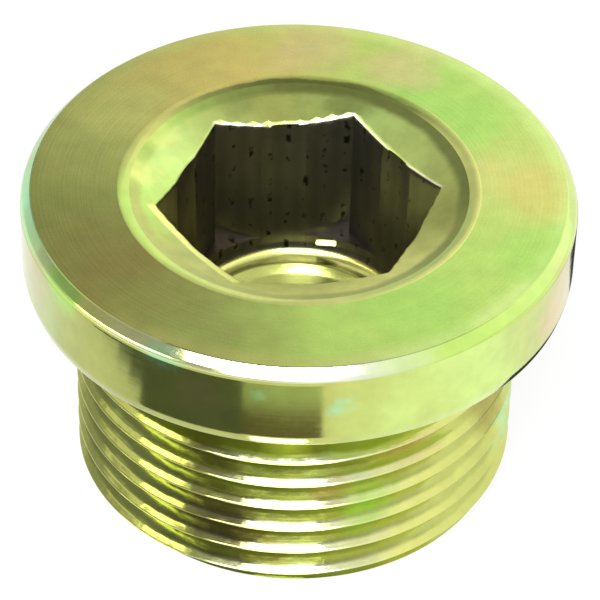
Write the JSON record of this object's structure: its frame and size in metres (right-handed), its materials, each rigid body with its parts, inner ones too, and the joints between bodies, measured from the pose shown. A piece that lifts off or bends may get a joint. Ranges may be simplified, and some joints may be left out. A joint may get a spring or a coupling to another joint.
{
  "type": "hex socket plug",
  "caption": "Collared screw plug with a countersunk hexagon socket, a thread relief under the collar and a metric fine thread, for closing a threaded port.",
  "frame": {"origin": "on the plug's axis, in the plane of the collar's underside, which is the face that seals against the port", "axes": "+Z along the plug's axis, from the threaded end towards the collar's top face; +X through a corner of the hexagon"},
  "size_m": [0.027, 0.027, 0.0169],
  "materials": {
    "yellow_zinc_steel": "turned steel, zinc plated with a yellow passivation that shifts between olive gold, yellow-green and mint"
  },
  "bodies": {
    "root": {"plug_body": "yellow_zinc_steel"}
  },
  "joints": []
}
